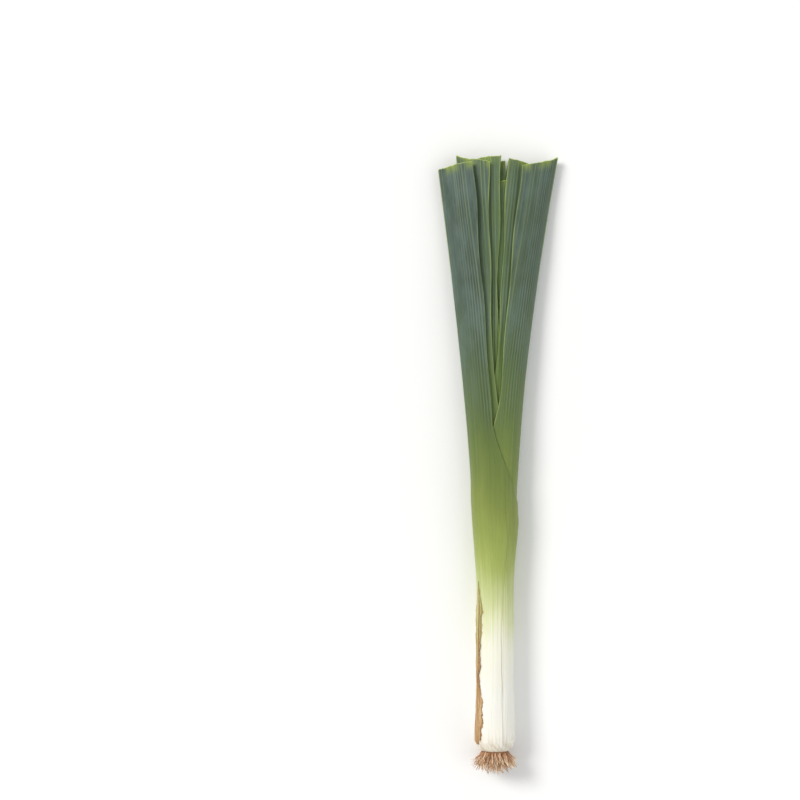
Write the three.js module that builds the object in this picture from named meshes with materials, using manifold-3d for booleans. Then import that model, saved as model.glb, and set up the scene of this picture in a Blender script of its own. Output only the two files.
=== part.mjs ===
// A leek lying on its side on a table, as trimmed for sale: a round white shaft with a slight
// bulb and a tuft of cut roots at one end, and a flat fan of folded leaves at the other.
// Millimetres. +Y runs from the roots to the leaf tops, +X across the fan, +Z up.
// Every shape is first worked out on a straight leek, by its distance along the shaft from the
// root plate, and then set down by one gentle bend, so layers that are nested there stay nested.
import * as THREE from "three";
import { mergeVertices } from "three/addons/utils/BufferGeometryUtils.js";
import Module from "manifold-3d";

// Driving dimensions
const LEAF_TOP = 541; // root plate to the cut tops of the leaves
const COLLAR = 232; // where the sheaths open into blades
const BULB_RADIUS = 18;
const SHAFT_RADIUS = 16.75;
const NECK_HALF_WIDTH = 22;
const NECK_HALF_HEIGHT = 15.3;
const AXIS_HEIGHT = 17.5; // of the shaft above the table, so that the bulb rests on a small flat
const NECK_AXIS_HEIGHT = 16.1;
const TOP_AXIS_HEIGHT = 12.68; // of the fan's middle, where its two outer leaves rest
const BLADE_THICKNESS = 1.1;
const SEAM = 0.4; // between the shaft and the leaf bases, and round the root plate
const LAYER_DEPTH = 1.5; // from one folded leaf to the next inside it, up and down
const LAYER_WIDTH = 2.2; // the same, across the fan

// The gentle bend of the whole leek
const FAN_LEAN = 5; // sideways at the leaf tops
const FAN_DROOP = 3.4; // of the fan's sides below its middle
const FAN_DROOP_REACH = 50;
const FAN_ROLL = 0.0315; // slope across the fan at the leaf tops
const COLLAR_SLANT = 0.34;
const SLANT_REACH = 110;
const AXIS_BEND_START = 110; // where the shaft's axis begins to sink towards the fan
const AXIS_EASE = 1.18; // over 1, the axis is down before the leaf tops

// Leaves, outermost first. Odd ones have their keel on the left and even ones on the right.
// top: where it is cut; cutSlant: how much longer the margin is than the keel;
// keelTop: keel from the middle line at the top; keelRound: length of its rounded fold there;
// margin: how far the margins reach past the middle line, at the collar and at the top.
const LEAVES = [
  { top: 528, cutSlant: 7, keelTop: 58, keelRound: 25, margin: [16.5, -26], farSteps: 9 },
  { top: 540, cutSlant: -9, keelTop: 53, keelRound: 24, margin: [14.5, -20], farSteps: 9 },
  { top: 541, cutSlant: -6, keelTop: 40, keelRound: 21, margin: [13, -11], farSteps: 9 },
  { top: 530, cutSlant: 8, keelTop: 35, keelRound: 20, margin: [11, -7], farSteps: 8 },
  { top: 537, cutSlant: 4, keelTop: 24, keelRound: 15, margin: [9, 1], farSteps: 7 },
  { top: 522, cutSlant: -5, keelTop: 22, keelRound: 13, margin: [7, 3], farSteps: 6 },
  { top: 533, cutSlant: 3, keelTop: 12.5, keelRound: 8, margin: [4, 5], farSteps: 4 },
  { top: 500, cutSlant: 5, keelTop: 9, keelRound: 6, margin: [3, 5], farSteps: 4 },
];
const KEEL_STEPS = 4;
const LEAF_ROWS = 15;
const ROW_CROWDING = 1.3; // rows lie closer together towards the collar
const FIRST_SWEEP = 68; // length over which the outermost margin sweeps to the middle line
const NEXT_SWEEP = 32; // and how much further up each leaf inside it does so
const KEEL_SPREAD_POWER = 1.4;
const SHARP_FOLD = 1.35; // power of the fold's rounding at the leaf tops, where 2 is round
const MARGIN_WAVE = 1.1;
const MARGIN_WAVE_LENGTH = 95;
const MARGIN_DRIFT_POWER = 1.3;
const TOP_HALF_HEIGHT = 14.4; // of the outermost fold above the fan's middle, at the leaf tops
const TOP_LOWER_HEIGHT = 12.5; // and below it
const TOP_LAYER_DEPTH = 1.75;
const LEAST_FOLD = 3; // length of the innermost folds at the collar

const smooth = (t) => {
  const c = THREE.MathUtils.clamp(t, 0, 1);
  return c * c * (3 - 2 * c);
};
const mix = THREE.MathUtils.lerp;

// Share of the way from the collar to the leaf tops
const bladeShare = (s) => THREE.MathUtils.clamp((s - COLLAR) / (LEAF_TOP - COLLAR), 0, 1);

// Height of the shaft's axis and of the fan's middle above the table
function axisHeight(s) {
  const bend = smooth((s - AXIS_BEND_START) / (COLLAR - AXIS_BEND_START));
  const neck = mix(AXIS_HEIGHT, NECK_AXIS_HEIGHT, bend);
  return mix(neck, TOP_AXIS_HEIGHT, smooth(bladeShare(s) * AXIS_EASE));
}

// Sets a point of the straight leek (across, along, up from the axis) down on the table
function place(x, s, z) {
  const t = bladeShare(s);
  const fade = 1 - smooth(Math.abs(s - COLLAR) / SLANT_REACH);
  const droop = FAN_DROOP * smooth(t) * (x / FAN_DROOP_REACH) ** 2;
  const up = axisHeight(s) + z - droop - FAN_ROLL * smooth(t) * x;
  const along = s - COLLAR_SLANT * x * fade;
  return [x + FAN_LEAN * t * t, along, Math.max(up, 0)];
}

function meshFrom(name, geometry, colour, roughness) {
  const material = new THREE.MeshStandardMaterial({ color: colour, roughness, metalness: 0 });
  const mesh = new THREE.Mesh(geometry, material);
  mesh.name = name;
  return mesh;
}

function geometryFrom(points, triangles) {
  const geometry = new THREE.BufferGeometry();
  geometry.setAttribute("position", new THREE.Float32BufferAttribute(points.flat(), 3));
  geometry.setIndex(triangles.flat());
  return geometry;
}

// A closed sheet: two faces given as rows of points, the outer seen from outside with the rows
// going up and the points to the left, joined along all four edges. Both faces are split alike.
function closedSheet(outer, inner) {
  const rows = outer.length;
  const columns = outer[0].length;
  const at = (row, column, face) => face * rows * columns + row * columns + column;
  const triangles = [];
  const quad = (a, b, c, d) => triangles.push([a, b, c], [a, c, d]);
  for (let i = 0; i + 1 < rows; i++)
    for (let j = 0; j + 1 < columns; j++) {
      quad(at(i, j, 0), at(i + 1, j, 0), at(i + 1, j + 1, 0), at(i, j + 1, 0));
      triangles.push([at(i, j, 1), at(i + 1, j + 1, 1), at(i + 1, j, 1)]);
      triangles.push([at(i, j, 1), at(i, j + 1, 1), at(i + 1, j + 1, 1)]);
    }
  const lastRow = rows - 1;
  const lastColumn = columns - 1;
  for (let i = 0; i < lastRow; i++) {
    quad(at(i, 0, 0), at(i, 0, 1), at(i + 1, 0, 1), at(i + 1, 0, 0));
    const [a, b] = [at(i, lastColumn, 1), at(i, lastColumn, 0)];
    quad(a, b, at(i + 1, lastColumn, 0), at(i + 1, lastColumn, 1));
  }
  for (let j = 0; j < lastColumn; j++) {
    quad(at(0, j, 1), at(0, j, 0), at(0, j + 1, 0), at(0, j + 1, 1));
    quad(at(lastRow, j, 0), at(lastRow, j, 1), at(lastRow, j + 1, 1), at(lastRow, j + 1, 0));
  }
  return geometryFrom([...outer.flat(), ...inner.flat()], triangles);
}

// Keel of a leaf from the middle line, and the length of its rounded fold
function keelReach(index, s) {
  const atCollar = NECK_HALF_WIDTH - index * LAYER_WIDTH;
  return mix(atCollar, LEAVES[index].keelTop, bladeShare(s) ** KEEL_SPREAD_POWER);
}
function foldRound(index, s) {
  const straight = NECK_HALF_WIDTH - NECK_HALF_HEIGHT;
  const atCollar = Math.max(LEAST_FOLD, NECK_HALF_WIDTH - index * LAYER_WIDTH - straight);
  return mix(atCollar, LEAVES[index].keelRound, bladeShare(s));
}

// How far the margins reach past the middle line, away from the keel
function marginReach(index, s) {
  const [atCollar, atTop] = LEAVES[index].margin;
  const sweep = smooth((s - COLLAR) / (FIRST_SWEEP + index * NEXT_SWEEP));
  const turn = (s / MARGIN_WAVE_LENGTH) * 2 * Math.PI + index * 2;
  const wave = MARGIN_WAVE * bladeShare(s) * Math.sin(turn);
  return atCollar * (1 - sweep) + atTop * bladeShare(s) ** MARGIN_DRIFT_POWER + wave;
}

// Half-height of a folded leaf above (side 1) or below (side -1) the fan's middle
function foldHeight(index, s, side) {
  const t = smooth(bladeShare(s));
  const outermost = mix(NECK_HALF_HEIGHT, side > 0 ? TOP_HALF_HEIGHT : TOP_LOWER_HEIGHT, t);
  return outermost - index * (side > 0 ? mix(LAYER_DEPTH, TOP_LAYER_DEPTH, t) : LAYER_DEPTH);
}

// A rise from 0 to 1 over the length of a fold. Power 2 is round and smaller powers are sharper.
const roundRise = (share, power) =>
  (1 - (1 - THREE.MathUtils.clamp(share, 0, 1)) ** power) ** (1 / power);

// One point of a folded section. step counts from the keel, 0, to the margin, and inset is 0
// on the outer face and the blade's thickness on the inner one.
function foldPoint(index, s, side, step, inset) {
  const { farSteps } = LEAVES[index];
  const keel = keelReach(index, s);
  const round = foldRound(index, s);
  const arm = keel + marginReach(index, s);
  const power = mix(2, SHARP_FOLD, bladeShare(s));
  const height = foldHeight(index, s, side) - inset;
  let fromKeel;
  let rise;
  if (step <= KEEL_STEPS) {
    const turn = (step / KEEL_STEPS) * (Math.PI / 2);
    fromKeel = inset + (round - inset) * (1 - Math.max(Math.cos(turn), 0) ** (2 / power));
    rise = Math.sin(turn) ** (2 / power);
  } else {
    fromKeel = round + (arm - round) * Math.sin(((step - KEEL_STEPS) / farSteps) * (Math.PI / 2));
    rise = 1;
  }
  // A leaf that holds another closes round the far side of the neck, over that one's keel
  if (index + 1 < LEAVES.length) {
    const farEnd = keelReach(index + 1, s) + LAYER_WIDTH - inset;
    const farRound = foldRound(index + 1, s) + LAYER_WIDTH - inset;
    rise *= roundRise((farEnd + keel - fromKeel) / farRound, power);
  }
  const keelSide = index % 2 ? 1 : -1;
  return [keelSide * (keel - fromKeel), side * height * rise];
}

// A leaf from its collar to its cut top: a sheet folded round its keel
function leafGeometry(index) {
  const { top, cutSlant, farSteps } = LEAVES[index];
  const armSteps = KEEL_STEPS + farSteps;
  const faces = [0, BLADE_THICKNESS].map((inset) => {
    const rows = [];
    for (let i = 0; i <= LEAF_ROWS; i++) {
      const row = [];
      for (let j = -armSteps; j <= armSteps; j++) {
        const side = j < 0 ? -1 : 1;
        const rise = (i / LEAF_ROWS) ** ROW_CROWDING;
        const cut = top + cutSlant * (Math.abs(j) / armSteps);
        const s = mix(COLLAR + SEAM, cut, rise);
        const [x, z] = foldPoint(index, s, side, Math.abs(j), inset);
        row.push(place(x, s, z));
      }
      rows.push(index % 2 ? row : row.reverse());
    }
    return rows;
  });
  return closedSheet(faces[0], faces[1]);
}

// The shaft: half-width, rounding and half-height of its section along its length
const SHAFT_STATIONS = [0, 1.5, 4.5, 9, 15, 23, 34, 50, 75, 105, 135, 160, 182, 200, 216, COLLAR];
const SHAFT_SIDES = 32;
const PLATE_RADIUS = 12.5;
const FOOT_ROUND = 9; // length over which the foot rounds in to the root plate
const BULB_START = 12; // the bulb's fullest place, and the length of its taper into the shaft
const BULB_TAPER = 55;
const FLATTEN_START = 140;
const FLAT_SHARE = 0.35; // cosine within which the flattened neck's section is straight
function shaftSection(s) {
  const body = mix(BULB_RADIUS, SHAFT_RADIUS, smooth((s - BULB_START) / BULB_TAPER));
  const foot = Math.sqrt(THREE.MathUtils.clamp(s / FOOT_ROUND, 0, 1));
  const swell = mix(PLATE_RADIUS, body, foot);
  const flatten = smooth((s - FLATTEN_START) / (COLLAR - FLATTEN_START));
  return {
    halfWidth: mix(swell, NECK_HALF_WIDTH, flatten),
    round: mix(swell, NECK_HALF_HEIGHT, flatten),
    halfHeight: mix(swell, NECK_HALF_HEIGHT, flatten),
  };
}
function shaftPoint(s, angle, outset) {
  const { halfWidth, round, halfHeight } = shaftSection(s);
  const across = Math.cos(angle);
  const straight = (halfWidth - round) * THREE.MathUtils.clamp(across / FLAT_SHARE, -1, 1);
  return place(straight + (round + outset) * across, s, (halfHeight + outset) * Math.sin(angle));
}
function shankGeometry() {
  const points = [];
  const triangles = [];
  const ringStart = (i) => i * SHAFT_SIDES;
  const angleOf = (j) => (j / SHAFT_SIDES) * 2 * Math.PI;
  for (const s of SHAFT_STATIONS)
    for (let j = 0; j < SHAFT_SIDES; j++) points.push(shaftPoint(s, angleOf(j), 0));
  const next = (j) => (j + 1) % SHAFT_SIDES;
  for (let i = 0; i + 1 < SHAFT_STATIONS.length; i++)
    for (let j = 0; j < SHAFT_SIDES; j++) {
      const [a, b] = [ringStart(i) + j, ringStart(i) + next(j)];
      const [c, d] = [ringStart(i + 1) + next(j), ringStart(i + 1) + j];
      triangles.push([a, c, b], [a, d, c]);
    }
  const lastRing = ringStart(SHAFT_STATIONS.length - 1);
  const foot = points.push(place(0, 0, 0)) - 1;
  const head = points.push(place(0, COLLAR, 0)) - 1;
  for (let j = 0; j < SHAFT_SIDES; j++) {
    triangles.push([foot, j, next(j)]);
    triangles.push([head, lastRing + next(j), lastRing + j]);
  }
  return geometryFrom(points, triangles);
}

// A torn strip of the dry outer skin, along the left side of the shaft
const STRIP = {
  from: 8,
  to: 152,
  middle: Math.PI * 0.86,
  halfTurn: 0.4,
  narrowing: 0.72,
  thickness: 0.8,
  gap: 0.65,
  rows: 18,
  steps: 6,
};
function dryStripGeometry() {
  const faces = [STRIP.gap + STRIP.thickness, STRIP.gap].map((outset) => {
    const rows = [];
    for (let i = 0; i <= STRIP.rows; i++) {
      const t = i / STRIP.rows;
      const s = mix(STRIP.from, STRIP.to, t);
      const tornEdge = 1 + 0.16 * Math.sin(9 * t + 1);
      const half = STRIP.halfTurn * (1 - STRIP.narrowing * t ** 1.5) * tornEdge;
      const middle = STRIP.middle + 0.07 * Math.sin(5 * t);
      const row = [];
      for (let j = 0; j <= STRIP.steps; j++)
        row.push(shaftPoint(s, middle + half * (1 - (2 * j) / STRIP.steps), outset));
      rows.push(row.reverse());
    }
    return rows;
  });
  return closedSheet(faces[0], faces[1]);
}

// The root tuft: the root plate with a brush of cut roots sunk into it
const ROOT_COUNT = 62;
const ROOT_SIDES = 4;
const ROOT_STEPS = 2;
const ROOT_LENGTH = [8, 13.5];
const ROOT_RADIUS = [1.3, 0.8];
const ROOT_SINK = 2.5;
const ROOT_SPREAD = 0.85;
const PLATE_DEPTH = 6;

const wasm = await Module();
wasm.setup();
function solidOf(geometry) {
  const bare = geometry.clone();
  bare.deleteAttribute("normal");
  bare.deleteAttribute("uv");
  const merged = mergeVertices(bare, 1e-4);
  const vertProperties = merged.attributes.position.array;
  const triVerts = new Uint32Array(merged.index.array);
  return new wasm.Manifold(new wasm.Mesh({ numProp: 3, vertProperties, triVerts }));
}
function geometryOf(solid) {
  const mesh = solid.getMesh();
  const geometry = new THREE.BufferGeometry();
  geometry.setAttribute("position", new THREE.BufferAttribute(new Float32Array(mesh.vertProperties), 3));
  geometry.setIndex(new THREE.BufferAttribute(new Uint32Array(mesh.triVerts), 1));
  return geometry;
}

// A repeatable draw of numbers from 0 to 1
function seededDraw(seed) {
  let state = seed;
  return () => {
    state = (state * 1664525 + 1013904223) % 4294967296;
    return state / 4294967296;
  };
}

// One root: a thin tapering rod with few sides along a curved path of rings
function rootGeometry(start, direction, length, curl) {
  const points = [];
  const triangles = [];
  const side = new THREE.Vector3().crossVectors(direction, new THREE.Vector3(0, 0, 1)).normalize();
  const up = new THREE.Vector3().crossVectors(side, direction).normalize();
  for (let i = 0; i <= ROOT_STEPS; i++) {
    const t = i / ROOT_STEPS;
    const radius = mix(ROOT_RADIUS[0], ROOT_RADIUS[1], t);
    const middle = start.clone().addScaledVector(direction, length * t).addScaledVector(curl, t * t);
    middle.z = Math.max(middle.z, radius + 0.15);
    for (let j = 0; j < ROOT_SIDES; j++) {
      const angle = ((j + 0.5) / ROOT_SIDES) * 2 * Math.PI;
      const ring = middle.clone().addScaledVector(side, radius * Math.cos(angle));
      ring.addScaledVector(up, radius * Math.sin(angle));
      points.push([ring.x, ring.y, Math.max(ring.z, 0.05)]);
    }
  }
  for (let i = 0; i < ROOT_STEPS; i++)
    for (let j = 0; j < ROOT_SIDES; j++) {
      const [a, b] = [i * ROOT_SIDES + j, i * ROOT_SIDES + ((j + 1) % ROOT_SIDES)];
      triangles.push([a, b + ROOT_SIDES, b], [a, a + ROOT_SIDES, b + ROOT_SIDES]);
    }
  const end = ROOT_STEPS * ROOT_SIDES;
  for (let j = 1; j + 1 < ROOT_SIDES; j++) triangles.push([0, j, j + 1], [end, end + j + 1, end + j]);
  return geometryFrom(points, triangles);
}
function rootTuftGeometry() {
  const profile = [
    [0, -PLATE_DEPTH], [6, -PLATE_DEPTH + 0.6], [10, -PLATE_DEPTH + 2.4],
    [PLATE_RADIUS - 0.4, -PLATE_DEPTH + 4.4], [PLATE_RADIUS - 0.2, -SEAM], [0, -SEAM],
  ].map(([radius, along]) => new THREE.Vector2(radius, along));
  const plate = new THREE.LatheGeometry(profile, 20);
  plate.translate(0, 0, AXIS_HEIGHT);
  let tuft = solidOf(plate);
  const draw = seededDraw(11);
  for (let i = 0; i < ROOT_COUNT; i++) {
    // Roots spiral out from the middle of the plate by the golden angle, and lean out with it
    const share = Math.sqrt((i + 0.5) / ROOT_COUNT);
    const turn = i * Math.PI * (3 - Math.sqrt(5)) + draw() * 0.3;
    const lean = ROOT_SPREAD * share * (0.75 + 0.5 * draw());
    const out = new THREE.Vector3(Math.cos(turn), 0, Math.sin(turn));
    const direction = out.clone().multiplyScalar(lean).add(new THREE.Vector3(0, -1, 0)).normalize();
    const start = out.clone().multiplyScalar(share * (PLATE_RADIUS - 2.6));
    start.y = -PLATE_DEPTH + ROOT_SINK + 1.6 * share ** 4;
    start.z += AXIS_HEIGHT;
    const length = ROOT_SINK + mix(ROOT_LENGTH[0], ROOT_LENGTH[1], draw());
    const curl = new THREE.Vector3(draw() - 0.5, draw() - 0.5, draw() - 0.8).multiplyScalar(5);
    tuft = tuft.add(solidOf(rootGeometry(start, direction, length, curl)));
  }
  // Its outer surface alone, so that a hollow closed in between roots is filled
  const bodies = tuft.decompose();
  return geometryOf(bodies.reduce((most, body) => (body.volume() > most.volume() ? body : most)));
}

const LEAF_COLOURS = [0x5d7565, 0x637b66, 0x6b8660, 0x74905a, 0x86a352, 0x98b255, 0xb0c46c, 0xc6d58a];
const leek = new THREE.Group();
leek.add(meshFrom("root_tuft", rootTuftGeometry(), 0x8c6548, 0.95));
leek.add(meshFrom("shank", shankGeometry(), 0xe9ead2, 0.45));
leek.add(meshFrom("dry_strip", dryStripGeometry(), 0xc99d66, 0.75));
LEAVES.forEach((leaf, index) =>
  leek.add(meshFrom("leaf_" + (index + 1), leafGeometry(index), LEAF_COLOURS[index], 0.55)),
);

// The origin is under the middle of the leek, on the table
const bounds = new THREE.Box3().setFromObject(leek);
const centre = bounds.getCenter(new THREE.Vector3());
leek.position.set(-centre.x, -centre.y, -bounds.min.z);

export default leek;
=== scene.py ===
import math

import bpy
import numpy as np
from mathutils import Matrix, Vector


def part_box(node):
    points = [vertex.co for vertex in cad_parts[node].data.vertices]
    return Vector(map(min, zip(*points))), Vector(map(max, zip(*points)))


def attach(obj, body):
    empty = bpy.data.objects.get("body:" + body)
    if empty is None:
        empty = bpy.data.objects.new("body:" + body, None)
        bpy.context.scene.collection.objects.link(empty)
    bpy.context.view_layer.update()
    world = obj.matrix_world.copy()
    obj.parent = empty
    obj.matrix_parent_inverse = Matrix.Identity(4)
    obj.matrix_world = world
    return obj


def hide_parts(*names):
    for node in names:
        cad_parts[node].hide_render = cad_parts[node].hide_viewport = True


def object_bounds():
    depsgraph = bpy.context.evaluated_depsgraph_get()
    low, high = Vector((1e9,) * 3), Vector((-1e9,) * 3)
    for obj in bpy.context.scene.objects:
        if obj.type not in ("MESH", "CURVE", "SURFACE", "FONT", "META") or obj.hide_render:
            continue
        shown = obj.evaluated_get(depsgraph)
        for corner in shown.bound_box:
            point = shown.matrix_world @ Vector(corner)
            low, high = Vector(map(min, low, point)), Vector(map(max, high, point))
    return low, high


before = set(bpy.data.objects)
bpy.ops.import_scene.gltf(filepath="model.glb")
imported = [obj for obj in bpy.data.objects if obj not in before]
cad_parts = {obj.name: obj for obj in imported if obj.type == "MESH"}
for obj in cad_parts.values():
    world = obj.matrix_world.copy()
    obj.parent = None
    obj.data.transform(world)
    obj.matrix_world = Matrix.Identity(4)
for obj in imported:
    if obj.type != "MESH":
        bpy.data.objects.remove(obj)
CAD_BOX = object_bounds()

# A leek lying on a pale table, seen from above. All shapes are worked out in millimetres on a
# straight leek: x across the fan of leaves, s along it from the root plate and z up from its
# axis. lay_down() then bends the whole leek gently onto the table and turns it into metres.
MM = 0.001
MAP_UNIT = 100  # millimetres to one unit of a piece's own map

# The leek's own sizes, in millimetres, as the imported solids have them
LEAF_TOP = 541
COLLAR = 232
BULB_RADIUS = 18
SHAFT_RADIUS = 16.75
PLATE_RADIUS = 12.5
NECK_HALF_WIDTH = 22
NECK_HALF_HEIGHT = 15.3
AXIS_HEIGHT = 17.5
NECK_AXIS_HEIGHT = 16.1
TOP_AXIS_HEIGHT = 12.68
AXIS_BEND_START = 110
AXIS_EASE = 1.18
BLADE_THICKNESS = 1.1
LAYER_DEPTH = 1.5
LAYER_WIDTH = 2.2
FAN_LEAN = 5
FAN_DROOP = 3.4
FAN_DROOP_REACH = 50
FAN_ROLL = 0.0315
COLLAR_SLANT = 0.34
SLANT_REACH = 110
KEEL_SPREAD_POWER = 1.4
SHARP_FOLD = 1.35
LEAST_FOLD = 3
MARGIN_WAVE = 1.1
MARGIN_WAVE_LENGTH = 95
MARGIN_DRIFT_POWER = 1.3
FIRST_SWEEP = 68
NEXT_SWEEP = 32
TOP_HALF_HEIGHT = 14.4
TOP_LOWER_HEIGHT = 12.5
TOP_LAYER_DEPTH = 1.75
SEAM = 0.4

# The fan's slow swelling: its height, the distance over which it grows from the collar, the
# height over the table in which it fades, and each wave's length across, length along and start
SWELL_HEIGHT = 0.36
SWELL_GROWTH = 90
SWELL_FADE = 9
SWELL_WAVES = [(13, 37, 0), (8.3, -29, 2), (19, 17, 4)]

# The uneven lines of wander(): how many sines each has, and the gain of their sum
WANDER_TERMS = 10
WANDER_GAIN = 2

# Leaves, outermost first: cut top, slant of the cut, keel and its fold at the top, and how far
# the margins reach past the middle line at the collar and at the top
LEAVES = [
    dict(top=528, slant=7, keel=58, fold=25, margin=(16.5, -26)),
    dict(top=540, slant=-9, keel=53, fold=24, margin=(14.5, -20)),
    dict(top=541, slant=-6, keel=40, fold=21, margin=(13, -11)),
    dict(top=530, slant=8, keel=35, fold=20, margin=(11, -7)),
    dict(top=537, slant=4, keel=24, fold=15, margin=(9, 1)),
    dict(top=522, slant=-5, keel=22, fold=13, margin=(7, 3)),
    dict(top=533, slant=3, keel=12.5, fold=8, margin=(4, 5)),
    dict(top=500, slant=5, keel=9, fold=6, margin=(3, 5)),
]

shank_low, shank_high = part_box("shank")
MIDDLE_X = (shank_low.x + shank_high.x) / 2
PLATE_Y = shank_low.y

# The photograph's frame: where the leek stands in it, in pixels, and the camera's lens
PHOTO_SIZE = 800
PHOTO_TOP = 155
PHOTO_FOOT = 772
PHOTO_AXIS = 495
LENS = 100
SENSOR = 36
FARTHEST_SEEN = 50
TABLE_HALF = 30.0
SKY_STRENGTH = 0.57


def smooth(t):
    """Rises from 0 to 1 with level ends: 3t2 - 2t3 of t held between 0 and 1."""
    t = np.clip(t, 0, 1)
    return t * t * (3 - 2 * t)


def mix(a, b, t):
    """a at t 0 and b at t 1, in proportion between."""
    return a + (b - a) * t


def blade_share(s):
    """How far s is from the collar to the leaf tops, from 0 to 1."""
    return np.clip((s - COLLAR) / (LEAF_TOP - COLLAR), 0, 1)


def past_collar(s, start, length):
    """Rises from 0 to 1 with level ends, over a length that begins start past the collar."""
    return smooth((s - COLLAR - start) / length)


def axis_height(s):
    """Height of the shaft's axis and of the fan's middle above the table: two eased steps down."""
    neck_share = smooth((s - AXIS_BEND_START) / (COLLAR - AXIS_BEND_START))
    neck = mix(AXIS_HEIGHT, NECK_AXIS_HEIGHT, neck_share)
    return mix(neck, TOP_AXIS_HEIGHT, smooth(blade_share(s) * AXIS_EASE))


def blade_swell(x, s):
    """Slow uneven swelling of the fan: the sum of three waves across and along it. Every layer
    has the same, so that none meets the next."""
    waves = sum(np.sin(x / across + s / along + start) for across, along, start in SWELL_WAVES)
    return SWELL_HEIGHT * waves * past_collar(s, 0, SWELL_GROWTH)


def wander(t, seed, lowest, highest, fall=0.8):
    """An uneven line that stays near -1 to 1: the sum of sines of rising frequency and falling
    height, with drawn phases, over half the sum of their heights."""
    draw = np.random.default_rng(seed)
    total = 0
    heights = 0
    for frequency in np.geomspace(lowest, highest, WANDER_TERMS):
        height = (lowest / frequency) ** fall
        total = total + height * np.sin(frequency * t + draw.uniform(0, 2 * np.pi))
        heights += height
    return total / heights * WANDER_GAIN


def lay_down(x, s, z):
    """Points in metres on the table: the axis's height, a droop with the square of the distance
    from the middle, a roll and a sideways lean, each growing along the fan. The swelling fades
    out towards the table."""
    share = blade_share(s)
    fade = 1 - smooth(np.abs(s - COLLAR) / SLANT_REACH)
    droop = FAN_DROOP * smooth(share) * (x / FAN_DROOP_REACH) ** 2
    up = axis_height(s) + z - droop - FAN_ROLL * smooth(share) * x
    up = up + blade_swell(x, s) * smooth(up / SWELL_FADE)
    along = s - COLLAR_SLANT * x * fade
    across = x + FAN_LEAN * share * share
    return np.stack([across * MM + MIDDLE_X, along * MM + PLATE_Y, np.maximum(up, 0) * MM], -1)


def quads_of(rows, columns, wrap, first=0):
    """Corner numbers of a grid's quads, row by row; wrap joins its last column to its first."""
    strips = columns if wrap else columns - 1
    i, j = np.meshgrid(np.arange(rows - 1), np.arange(strips), indexing="ij")
    k = (j + 1) % columns
    corners = [i * columns + j, i * columns + k, (i + 1) * columns + k, (i + 1) * columns + j]
    return first + np.stack(corners, -1).reshape(-1, 4)


def mesh_object(name, vertices, faces, finish, uv=None, **values):
    """An object of faces given as lists of corner numbers, smooth shaded. uv holds one pair and
    values one number for each vertex."""
    mesh = bpy.data.meshes.new(name)
    mesh.from_pydata(vertices.tolist(), [], [face for part in faces for face in part.tolist()])
    mesh.polygons.foreach_set("use_smooth", np.ones(len(mesh.polygons), bool))
    if uv is not None:
        corners = np.concatenate([part.reshape(-1) for part in faces])
        layer = mesh.uv_layers.new(name="skin")
        layer.data.foreach_set("uv", uv[corners].reshape(-1))
    for key, numbers in values.items():
        mesh.attributes.new(key, "FLOAT", "POINT").data.foreach_set("value", numbers.reshape(-1))
    mesh.materials.append(finish)
    mesh.update()
    thing = bpy.data.objects.new(name, mesh)
    bpy.context.scene.collection.objects.link(thing)
    return thing


def closed_sheet(name, outer, inner, uv, finish, flip, **values):
    """A thin sheet: its outer and inner faces as two grids, joined along their four edges. flip
    turns its faces over, and values holds each outer and inner pair."""
    rows, columns = outer.shape[:2]
    count = rows * columns
    front = quads_of(rows, columns, False)
    back = quads_of(rows, columns, False, count)[:, ::-1]
    i = np.arange(rows - 1) * columns
    j = np.arange(columns - 1)
    last = count - columns
    end = columns - 1
    edges = [
        np.stack([i, i + columns, i + columns + count, i + count], -1),
        np.stack([i + end, i + end + count, i + end + columns + count, i + end + columns], -1),
        np.stack([j, j + count, j + 1 + count, j + 1], -1),
        np.stack([last + j, last + j + 1, last + j + 1 + count, last + j + count], -1),
    ]
    faces = [front, back, *edges]
    if flip:
        faces = [part[:, ::-1] for part in faces]
    vertices = np.concatenate([outer.reshape(-1, 3), inner.reshape(-1, 3)])
    both = np.concatenate([uv.reshape(-1, 2), uv.reshape(-1, 2)])
    numbers = {}
    for key, (a, b) in values.items():
        numbers[key] = np.concatenate([a.reshape(-1), b.reshape(-1)])
    return mesh_object(name, vertices, faces, finish, both, **numbers)


def normals_of(points):
    """Unit normals of a grid of points: the cross product of its two slopes."""
    across = np.gradient(points, axis=1)
    along = np.gradient(points, axis=0)
    normal = np.cross(across, along)
    return normal / np.maximum(np.linalg.norm(normal, axis=-1, keepdims=True), 1e-12)


def arc_lengths(points):
    """Millimetres along each row of a grid of points, from its first column."""
    steps = np.linalg.norm(np.diff(points, axis=1), axis=-1) / MM
    return np.concatenate([np.zeros((len(points), 1)), np.cumsum(steps, axis=1)], axis=1)


# Materials: small helpers, then the finishes
def srgb(red, green, blue):
    """A colour given in the eight-bit numbers a painter reads, as linear light."""
    c = np.array([red, green, blue]) / 255
    linear = np.where(c <= 0.04045, c / 12.92, ((c + 0.055) / 1.055) ** 2.4)
    return (*linear.tolist(), 1.0)


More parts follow.
